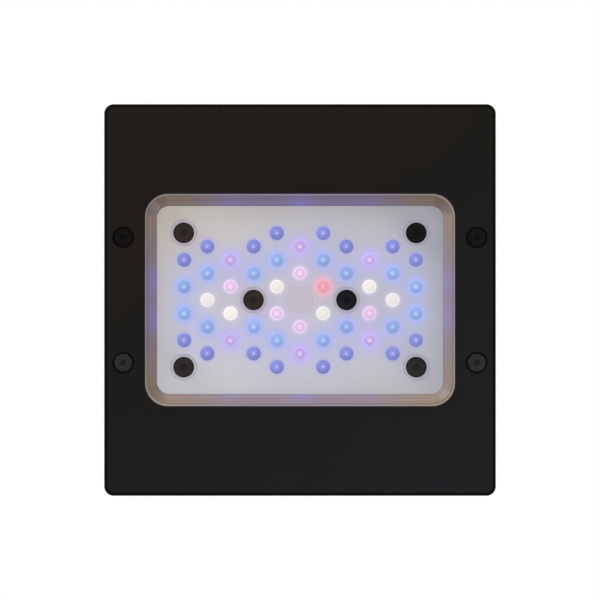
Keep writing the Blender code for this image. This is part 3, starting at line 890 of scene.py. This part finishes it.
def side_tone(place, inset):
    """Painted shade at the front and left of the lens wall, painted light at the rear and right.
    """
    dx, dy = beyond_straights(place)
    short_side = dx * dx / (dx * dx + dy * dy)
    across, along = nearest_sides(place)
    tones = [
        first * short_side + second * (1 - short_side)
        for first, second in zip(SIDE_TONES[across], SIDE_TONES[along])
    ]
    if inset <= RIM_WIDTH:
        return tones[0]
    share = min(max((inset - 1.8) / 2.7, 0.0), 1.0)
    return (tones[1] + (tones[2] - tones[1]) * share) * (1 - corner_shade(place))


def corner_warmth(place):
    """1 at the lens's corners, where no coloured light reaches the wall, 0 along its sides."""
    reach = 2 * abs(place.x) / LENS_SIZE[0] + 2 * abs(place.y) / LENS_SIZE[1]
    return max(0.0, min(1.0, (reach - 1.35) / 0.5))


def streak(inset, index, count):
    """Soft lengthwise streaks in the moulded wall, as a factor on its colour."""
    turn = 2 * math.pi * index / count
    wave = math.sin(3 * turn + 2.1 * inset) + math.sin(7 * turn + 3.7 * inset)
    return 1 + 0.035 * wave


def wall_glow(place):
    """The blue light on the wall, strongest at its inner edge."""
    inset = depth_inside(place, *LENS_SIZE, LENS_CORNER)
    inner = min(max((inset - 0.3) / 4.0, 0.0), 1.0)
    dx, dy = beyond_straights(place)
    if dx < dy:
        broad = LONG_SIDE_GLOW[nearest_sides(place)[1]] * math.exp(-(place.x / 48.0) ** 6)
        spots, along = LONG_SIDE_SPOTS, place.x
    else:
        broad = SHORT_SIDE_GLOW * math.exp(-(place.y / 26.0) ** 2)
        spots, along = SHORT_SIDE_SPOTS, place.y
    narrow = sum(
        strength * math.exp(-((along - middle) / reach) ** 2)
        for middle, strength, reach in spots
    )
    amount = broad * (0.6 + 0.4 * inner) + narrow * (0.15 + 0.85 * inner)
    return (*(GLOW_COLOUR * amount), 1.0)


def make_lens():
    mesh = bmesh.new()
    layer = mesh.verts.layers.float_color.new("wall_light_and_shade")

    def add_loop(inset, height):
        return [mesh.verts.new(point * MM) for point in lens_ring(inset, height)]

    loops = []
    for inset, height, colour in lens_profile():
        loop = add_loop(inset, height)
        for index, vertex in enumerate(loop):
            place = vertex.co / MM
            # Painted light on the wall, with painted shade at the front, left and corners and less
            # painted blue light at the corners
            tone = side_tone(place, inset) * streak(inset, index, len(loop))
            warmth = corner_warmth(place) * (1.0 if inset > RIM_WIDTH else 0.4)
            red, green, blue = linear(*colour) * tone
            red *= 1 + 0.10 * warmth
            green *= 1.01 + 0.05 * warmth
            blue *= (0.86 - 0.15 * warmth) * (1 + 0.6 * corner_shade(place))
            vertex[layer] = (red, green, blue, 1.0)
        loops.append(loop)
    # Behind the window's edge the wall goes up to a flange that the housing clamps
    flange_low, flange_high = LENS_HIGH.z - LENS_FLANGE, LENS_HIGH.z
    for inset, height in (
        (WALL_INSET, LENS_LOW.z + 1.2), (WALL_BACK, FACE_Z + 2.5), (WALL_BACK, flange_high),
        (-FLANGE_REACH, flange_high), (-FLANGE_REACH, flange_low), (0.0, flange_low),
    ):
        loop = add_loop(inset, height)
        for vertex in loop:
            vertex[layer] = (*linear(100, 90, 94), 1.0)
        loops.append(loop)
    for first, second in zip(loops, loops[1:] + loops[:1]):
        bridge(mesh, first, second)
    wall = show("lens_wall", mesh_data(mesh, "lens_wall"), lens_wall())
    paint(wall, "glow", wall_glow)
    finish_piece(wall, "clear_acrylic", "lens_cover", angle=40)
    make_window()


def make_window():
    """The flat middle of the lens, with a hole for each boss."""
    low = LENS_LOW.z
    width, depth = WINDOW_SIZE
    rings = [
        rounded(width - 0.3, depth - 0.3, WINDOW_CORNER - 0.1, z, 14)
        for z in (low + 0.05, low + 1.1)
    ]
    window = shaped("lens_window", [rings], lens_window())
    boolean(window, [
        turned(((COUNTERBORE_RADIUS, low - 1), (COUNTERBORE_RADIUS, low + 3)), p, 64)
        for p in panel_screws()
    ])
    finish_piece(window, "clear_acrylic", "lens_cover")


def clear_piece(name, material, colour, alpha, stacks, closed=True):
    piece = shaped(name, stacks, clear_painted_glow(material, linear(*colour), alpha), closed)
    finish_piece(piece, "clear_acrylic", "lens_cover")


def make_bosses():
    """The clear cups that the panel screws sit in: a pale floor, a dark edge and a light one, all
    painted glow for the light bent in the acrylic.
    """
    low, floor = LENS_LOW.z, BOSS_FLOOR_Z
    parts = (
        ("boss_floors", "acrylic_floor", (156, 147, 166), 0.26,
         ((2.4, floor), (5.9, floor), (5.9, floor + 1.2), (2.4, floor + 1.2))),
        ("boss_walls", "acrylic_wall", (104, 96, 114), 0.42,
         ((5.95, floor), (6.0, low + 0.5), (6.2, low + 0.5), (6.15, floor))),
        ("boss_edges", "acrylic_edge", (206, 198, 214), 0.12,
         ((6.35, low + 0.05), (6.5, low), (6.7, low + 0.05), (6.5, low + 0.3))),
    )
    for name, material, colour, alpha, profile in parts:
        stacks = [turned(profile, p, 64) for p in panel_screws()]
        clear_piece(name, material, colour, alpha, stacks)


def make_centre_mark():
    """The blank place at the middle of the lens: a shallow round recess like a boss's, whose
    recess, edge and halo are painted glow.
    """
    low = LENS_LOW.z
    parts = (
        ("centre_recess", "acrylic_recess", (184, 176, 184), 0.14, False,
         ((5.9, low + 0.45), (5.9, low + 1.0))),
        ("centre_edge", "acrylic_rim", (150, 142, 168), 0.12, True,
         ((5.95, low + 0.3), (6.15, low), (6.35, low + 0.1), (6.15, low + 0.5))),
        ("centre_halo", "acrylic_halo", (150, 146, 170), 0.06, True,
         ((7.9, low + 0.3), (8.0, low + 0.1), (8.2, low + 0.1), (8.1, low + 0.4))),
    )
    for name, material, colour, alpha, closed, profile in parts:
        clear_piece(name, material, colour, alpha, [turned(profile, steps=64)], closed)


# ---- casing

EDGE_STEPS = 6
# Round each housing screw, as (radius, height over the face)
HOUSING_COUNTERBORE = ((5.2, -0.5), (5.2, 0), (4.9, 0.3), (4.9, 2), (2.1, 2), (2.1, 5))
EDGE_SHADE_SLOT, LENS_LIGHT_SLOT = 1, 2


def body_ring(inset, height):
    side = BODY_SIDE - 2 * inset
    return rounded(side, side, max(BODY_CORNER - inset, 0.6), height, arc=10)


def holes_at(nodes, profile):
    """Round holes at the middles of nodes, from (radius, height) points."""
    return [turned(profile, p, 48) for p in map(centre_mm, nodes)]


def make_housing():
    window = (LENS_SIZE[0] + 2 * LENS_GAP, LENS_SIZE[1] + 2 * LENS_GAP, LENS_CORNER + LENS_GAP)
    edge = quarter_round((EDGE_ROUND, FACE_Z), (0, FACE_Z + EDGE_ROUND), EDGE_STEPS)
    rim_top = HOUSING_HIGH.z

    def window_ring(grow, height):
        return rounded(window[0] + 2 * grow, window[1] + 2 * grow, window[2] + grow, height, 10)

    rings = [
        window_ring(0, FACE_Z + 0.35), window_ring(0.35, FACE_Z),
        body_ring(2.2, FACE_Z), body_ring(EDGE_ROUND + 0.25, FACE_Z),
        *(body_ring(inset, z) for inset, z in edge),
        body_ring(0, rim_top - 0.25), body_ring(0.25, rim_top), window_ring(0, rim_top),
    ]
    housing = shaped("housing_frame", [rings], BLACK, closed=True)
    profile = [(radius, FACE_Z + over) for radius, over in HOUSING_COUNTERBORE]
    boolean(housing, holes_at(numbered("housing_screw", 4), profile))
    housing.data.materials.append(EDGE_SHADE)
    housing.data.materials.append(LENS_LIGHT)
    for face in housing.data.polygons:
        middle = face.center / MM
        rim = depth_inside(middle, BODY_SIDE, BODY_SIDE, BODY_CORNER)
        gap = -depth_inside(middle, *LENS_SIZE, LENS_CORNER)
        # The rounded outer edge takes painted shade
        if rim < EDGE_ROUND + 0.25 and middle.z < FACE_Z + EDGE_ROUND:
            face.material_index = EDGE_SHADE_SLOT
        # The strip beside the lens takes painted light from the lens wall
        elif gap < 2 * LENS_GAP:
            face.material_index = LENS_LIGHT_SLOT
    finish_piece(housing, "housing_black", "bottom_housing")


# ---- screws

# Screw heads: radius, height, size of the rounded edge, half the socket's width
PANEL_HEAD = (4.75, 2.4, 0.7, 1.5)
EDGE_HEAD = (4.2, 1.5, 0.5, 1.3)
TOP_HEAD = (2.9, 1.1, 0.3, 1.0)
SOCKET_DEPTH = 1.1
SHANK_RADIUS = 1.7


def socket_screw(name, node_name, size, surface, upward=False):
    """A round head with a domed edge, a shallow ring and a six-sided socket."""
    head_radius, head, crown, socket = size
    middle = centre_mm(node_name)
    low, high = box_mm(node_name)
    face, way, end = (high.z, -1, low.z) if upward else (low.z, 1, high.z)
    profile = [
        (socket * 0.2, face + way * SOCKET_DEPTH), (socket, face + way * SOCKET_DEPTH * 0.8),
        (socket, face + way * 0.12), (socket + 0.18, face + way * 0.02),
        (head_radius * 0.62, face), (head_radius * 0.66, face + way * 0.06),
        (head_radius * 0.7, face), (head_radius - crown, face + way * 0.02),
        (head_radius - crown * 0.4, face + way * crown * 0.25),
        (head_radius, face + way * crown), (head_radius, face + way * head),
        (SHANK_RADIUS, face + way * head), (SHANK_RADIUS, end),
    ]
    rings = []
    for radius, z in profile:
        if radius <= socket + 0.01:
            rings.append(hexagon(radius, z, middle, 48))
        else:
            rings.append(circle(radius, z, middle, 48))
    thing = shaped(name, [rings], surface)
    finish_piece(thing, "screw_black", node_name, angle=28)


def hexagon(radius, z, middle, steps):
    """A ring of points round a hexagon whose flats are 2 x radius apart."""
    points = []
    for step in range(steps):
        angle = 2 * math.pi * step / steps
        from_flat = (angle + math.pi / 6) % (math.pi / 3) - math.pi / 6
        reach = radius / math.cos(from_flat)
        points.append(Vector((
            middle.x + reach * math.cos(angle), middle.y + reach * math.sin(angle), z,
        )))
    return points


def make_screws():
    for number in range(1, 7):
        socket_screw(f"panel_screw_{number}", f"lens_screw_{number}", PANEL_HEAD, PANEL_SCREW)
    for number in range(1, 5):
        socket_screw(f"edge_screw_{number}", f"housing_screw_{number}", EDGE_HEAD, EDGE_SCREW)
        socket_screw(f"top_screw_{number}", f"cover_screw_{number}", TOP_HEAD, SCREW, upward=True)


# ---- cover

COVER_SKIN = 2.4
COVER_WALL = 2.0
SHOULDER = 4.0
VENT_WIDTH = 3.4
VENT_PITCH = 8.8
VENT_TOP = -10.0
VENT_BOTTOM = -29.0
SIDE_VENTS_Y = (-75, -66, -57, 57, 66, 75)
TOP_VENTS_Y = 66
TOP_VENT_LENGTH = 20
INLET_CLEARANCE = 13
FLARE = 0.35
CUT_DEPTH = 7
FAN_OPENING = 42.3
BUTTON_HOLE = 3.8
STATUS_HOLE = 1.8
RAIL_OPENING = (8.0, 70.0)
# Round each cover screw, as (radius, height)
COVER_COUNTERBORE = ((3.6, 1), (3.6, 0), (3.3, -0.3), (3.3, -1.6), (1.9, -1.6), (1.9, -4))
# The ribs inside the corners: their thickness and how far out their ends are in X and Y;
# the rear ones are shorter, because a wire runs past them
RIB_THICKNESS = 1.6
RIB_OUTER = 87.5
RIB_INNER = {-1: 70.5, 1: 74.5}


def facing(axis, across, along, out):
    """A point given across, along and out of a face that is square to X, Y or Z."""
    return {
        "X": Vector((out, across, along)),
        "Y": Vector((across, out, along)),
        "Z": Vector((across, along, out)),
    }[axis]


def slot_cutter(axis, centre, width, length, surface, inward):
    """A slot with round ends and a small flare, cut into a face at the given place."""
    depths = (
        (FLARE, surface - inward), (FLARE, surface),
        (0.0, surface + inward * FLARE), (0.0, surface + inward * CUT_DEPTH),
    )
    stack = []
    for grow, out in depths:
        ring = slot_ring(width + 2 * grow, length + 2 * grow, centre)
        stack.append([facing(axis, point.x, point.y, out) for point in ring])
    return stack


def wall_vents():
    half = BODY_SIDE / 2
    middle = (VENT_TOP + VENT_BOTTOM) / 2
    length = VENT_TOP - VENT_BOTTOM
    inlet = centre_mm("power_inlet")
    cutters = []
    for side in (-1, 1):
        wall = (VENT_WIDTH, length, side * half, -side)
        for index in range(-7, 8):
            x = index * VENT_PITCH
            if side < 0 or abs(x - inlet.x) > INLET_CLEARANCE:
                cutters.append(slot_cutter("Y", (x, middle), *wall))
        cutters += [slot_cutter("X", (y, middle), *wall) for y in SIDE_VENTS_Y]
    return cutters


def top_vents():
    return [
        slot_cutter("Z", (index * VENT_PITCH, TOP_VENTS_Y), VENT_WIDTH, TOP_VENT_LENGTH, 0.0, -1)
        for index in range(-6, 7)
    ]


def flared_hole(radius, middle):
    profile = ((radius + FLARE, 1), (radius + FLARE, 0), (radius, -FLARE), (radius, -6))
    return turned(profile, middle, 64)


def corner_ribs():
    """Ribs inside the cover, from each corner towards the heat sink."""
    heights = (COVER_SEAM + 0.8, 0.4 - COVER_SKIN)
    ribs = []
    for sx in (-1, 1):
        for sy in (-1, 1):
            outer, inner = (Vector((sx, sy, 0)) * out for out in (RIB_OUTER, RIB_INNER[sy]))
            side = Vector((-sy, sx, 0)).normalized() * RIB_THICKNESS / 2
            plan = [outer + side, inner + side, inner - side, outer - side]
            ribs.append([[point + Vector((0, 0, z)) for point in plan] for z in heights])
    return ribs


def inlet_ring(radius, y):
    """A ring round the axis of the power inlet, which runs along Y."""
    middle = centre_mm("power_inlet")
    return [
        Vector((middle.x + radius * point.x, y, middle.z + radius * point.y))
        for point in circle(1.0, 0, steps=64)
    ]


def make_cover():
    ceiling = -COVER_SKIN
    half = BODY_SIDE / 2
    shoulder = [
        body_ring(SHOULDER * (1 - math.sin(angle)), -SHOULDER * (1 - math.cos(angle)))
        for angle in (math.radians(90 * step / 7) for step in range(8))
    ]
    rings = shoulder + [
        body_ring(0, COVER_SEAM + 0.25), body_ring(0.25, COVER_SEAM),
        body_ring(COVER_WALL, COVER_SEAM), body_ring(COVER_WALL, ceiling - 0.5),
        body_ring(COVER_WALL + 0.5, ceiling),
    ]
    cover = shaped("cover_shell", [rings], COVER)
    boolean(cover, corner_ribs(), "UNION")
    holes = [turned((
        (FAN_OPENING + 0.9, 1), (FAN_OPENING + 0.9, 0), (FAN_OPENING, -0.7),
        (FAN_OPENING, ceiling - 1),
    ), steps=128)]
    for name in ("side_rail_left", "side_rail_right"):
        holes.append(slot_cutter("Z", (centre_mm(name).x, 0), *RAIL_OPENING, 0.0, -1))
    holes += holes_at(numbered("cover_screw", 4), COVER_COUNTERBORE)
    holes += [flared_hole(BUTTON_HOLE, centre_mm(name)) for name in BUTTONS]
    holes.append(flared_hole(STATUS_HOLE, centre_mm("indicator_light_pipe")))
    boolean(cover, holes)
    boolean(cover, wall_vents() + top_vents())
    inlet_hole = ((5.8, half + 1), (5.8, half), (5.3, half - 0.5), (5.3, half - 6))
    boolean(cover, [[inlet_ring(radius, y) for radius, y in inlet_hole]])
    finish_piece(cover, "cover_black", "top_cover")


# ---- fan

GRILLE_BANDS = (15.0, 23.0, 31.0)
BLADE_COUNT = 7
BLADE_ROOT = 14.5
BLADE_TIP = 37.2
HUB_RADIUS = 16.5


def bar(angle, inner, outer, half_width, low, high):
    """A radial bar with chamfered upper edges."""
    chamfer = 0.3
    along = Vector((math.cos(angle), math.sin(angle), 0))
    across = Vector((-along.y, along.x, 0))
    section = (
        (-half_width, low), (half_width, low), (half_width, high - chamfer),
        (half_width - chamfer, high), (chamfer - half_width, high),
        (-half_width, high - chamfer),
    )
    return [
        [along * reach + across * side + Vector((0, 0, z)) for side, z in section]
        for reach in (inner, outer)
    ]


def make_grille():
    """The fan's guard: a rim under the cover, six bars, a hub and three round bands."""
    low = box_mm("fan_grille")[0].z
    lip = -COVER_SKIN - 0.3
    rim = (
        (38.6, -0.5), (38.9, -0.2), (41.6, -0.2), (42.0, -0.6), (42.0, lip), (44.0, lip),
        (44.0, low), (38.6, low),
    )
    grille = shaped("fan_guard", [turned(rim, steps=128)], COVER, closed=True)
    bars = [bar(math.radians(60 * index + 30), 7, 39.5, 1.1, -2.1, -0.4) for index in range(6)]
    boolean(grille, bars, "UNION")
    hub = ((8.5, -2.2), (8.5, -0.7), (8.1, -0.3), (6.2, -0.3), (5.8, -0.6), (1.0, -0.7))
    boolean(grille, [turned(hub, steps=64)], "UNION")
    band = ((0, -0.6), (0.3, -0.3), (1.1, -0.3), (1.4, -0.6), (1.4, -2.2), (0, -2.2))
    bands = [turned([(r + grow, z) for grow, z in band], steps=96) for r in GRILLE_BANDS]
    boolean(grille, bands, "UNION", closed=True)
    finish_piece(grille, "cover_black", "fan_grille")


def fan_blade(index, low, high):
    """A twisted blade: sections from the hub to the tip, each a thin curved strip."""
    parts, steps = 8, 8
    sections = []
    for part in range(parts + 1):
        share = part / parts
        radius = BLADE_ROOT + (BLADE_TIP - BLADE_ROOT) * share
        sweep = 18 * share ** 1.3
        upper, lower = [], []
        for step in range(steps + 1):
            t = step / steps
            turn = math.radians(sweep + 36 * t + 360 * index / BLADE_COUNT)
            height = high + (low - high) * t - 1.0 * math.sin(math.pi * t)
            thickness = 1.2 * math.sin(math.pi * (0.15 + 0.7 * t))
            where = Vector((radius * math.cos(turn), radius * math.sin(turn), 0))
            upper.append(where + Vector((0, 0, height + thickness)))
            lower.append(where + Vector((0, 0, height)))
        sections.append(upper + lower[::-1])
    return sections


def make_rotor():
    low, high = box_mm("fan_rotor")
    hub = (
        (HUB_RADIUS - 0.3, low.z), (HUB_RADIUS, low.z + 0.3), (HUB_RADIUS, high.z - 1.4),
        (HUB_RADIUS - 0.4, high.z - 0.5), (HUB_RADIUS - 1.3, high.z), (10.0, high.z),
        (9.6, high.z - 0.25), (2.0, high.z - 0.25),
    )
    rotor = shaped("fan_wheel", [turned(hub, steps=96)], fan_plastic())
    blades = [fan_blade(index, low.z + 0.9, high.z - 2.6) for index in range(BLADE_COUNT)]
    boolean(rotor, blades, "UNION")
    finish_piece(rotor, "fan_black", "fan_rotor", body="fan_rotor")


# ---- controls

def button_rubber():
    surface = principled("button_rubber", linear(72, 72, 74), 0.62, specular=0.35)
    vary_colour(surface, 500, linear(66, 66, 68), linear(80, 80, 82))
    bump(surface, 3200, 0.4, 0.04)
    return surface


def make_buttons():
    rubber = button_rubber()
    for name in BUTTONS:
        low, high = box_mm(name)
        middle = centre_mm(name)
        cap = (
            (0.4, high.z - 0.35), (1.6, high.z - 0.3), (2.4, high.z - 0.12),
            (2.8, high.z - 0.02), (3.0, high.z), (3.25, high.z - 0.12), (3.4, high.z - 0.45),
            (3.4, -2.7), (4.6, -2.7), (4.6, -3.7), (1.5, -3.7), (1.5, low.z),
        )
        button = shaped(name + "_cap", [turned(cap, middle, 64)], rubber)
        finish_piece(button, "button_grey", name, body=name)


def make_light_pipe():
    surface = principled(
        "light_pipe", (0.16, 0.34, 0.6), 0.15, specular=0.5,
        Emission_Color=(0.12, 0.42, 1.0, 1.0), Emission_Strength=0.45,
    )
    low, high = box_mm("indicator_light_pipe")
    middle = centre_mm("indicator_light_pipe")
    rod = (
        (0.3, high.z), (0.9, high.z - 0.05), (1.3, high.z - 0.2), (1.5, high.z - 0.5),
        (1.5, -2.7), (2.4, -2.7), (2.4, -3.6), (1.5, -3.6), (1.5, low.z),
    )
    pipe = shaped("status_lens", [turned(rod, middle, 48)], surface)
    finish_piece(pipe, "light_pipe_clear", "indicator_light_pipe")


def make_inlet():
    low, high = box_mm("power_inlet")
    mouth = high.y
    barrel = (
        (0.4, mouth - 9.6), (3.2, mouth - 9.6), (3.2, mouth - 0.4), (3.5, mouth - 0.1),
        (4.7, mouth), (5.0, mouth - 0.3), (5.0, mouth - 2.1), (6.4, mouth - 2.1), (6.4, low.y),
    )
    inlet = shaped("power_socket", [[inlet_ring(*point) for point in barrel]], fan_plastic())
    finish_piece(inlet, "fan_black", "power_inlet")
    pin_low, pin_high = box_mm("inlet_pin")
    tip = pin_high.y
    plated = principled("plated_pin", (0.5, 0.48, 0.44), 0.3, metallic=1.0)
    vary_roughness(plated, 900, 0.24, 0.42)
    rod = ((0.3, tip), (0.7, tip - 0.1), (0.95, tip - 0.45), (1.0, tip - 0.8), (1.0, pin_low.y))
    pin = shaped("socket_pin", [[inlet_ring(*point) for point in rod]], plated)
    finish_piece(pin, "pin_metal", "inlet_pin")


# ---- inner pieces

def dress(node_name, surface, bevel=0.0):
    """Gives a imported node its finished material, and soft edges if asked."""
    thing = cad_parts[node_name]
    thing.data.materials.clear()
    thing.data.materials.append(surface)
    smooth(thing, 35)
    if bevel:
        modifier = thing.modifiers.new("soft_edges", "BEVEL")
        modifier.width = bevel * MM
        modifier.segments = 2
        modifier.limit_method = "ANGLE"
        modifier.harden_normals = True


def circuit_green():
    surface = principled("circuit_green", linear(18, 62, 44), 0.35)
    vary_colour(surface, 900, linear(14, 52, 37), linear(26, 74, 52), detail=4.0)
    bump(surface, 1200, 0.3, 0.05)
    return surface


def wire_sleeve():
    surface = principled("wire_sleeve", linear(40, 40, 41), 0.6)
    vary_colour(surface, 300, linear(34, 34, 35), linear(48, 48, 49))
    bump(surface, 2500, 0.3, 0.05)
    return surface


def seal_rubber():
    surface = principled("seal_rubber", linear(38, 38, 38), 0.8)
    vary_colour(surface, 200, linear(34, 34, 34), linear(44, 44, 44))
    bump(surface, 1800, 0.3, 0.05)
    return surface


def pad_grey():
    surface = principled("pad_grey", linear(155, 158, 163), 0.75)
    vary_colour(surface, 150, linear(148, 151, 156), linear(162, 165, 170))
    return surface


def dress_inner_pieces():
    dress("side_rail_left", RAIL, 0.3)
    dress("side_rail_right", RAIL, 0.3)
    dress("heatsink", METAL)
    dress("fan_frame", fan_plastic())
    dress("control_board", circuit_green())
    dress("thermal_pad", pad_grey())
    dress("lens_gasket", seal_rubber())
    sleeve = wire_sleeve()
    for name in ("power_lead", "fan_lead", "led_harness"):
        dress(name, sleeve)
    for name in numbered("fan_screw", 4):
        dress(name, SCREW)


set_stage()
add_camera()
add_lights()
make_led_domes()
make_board()
make_reflector()
make_lens()
make_bosses()
make_centre_mark()
make_housing()
make_cover()
make_grille()
make_rotor()
make_buttons()
make_light_pipe()
make_inlet()
make_screws()
dress_inner_pieces()
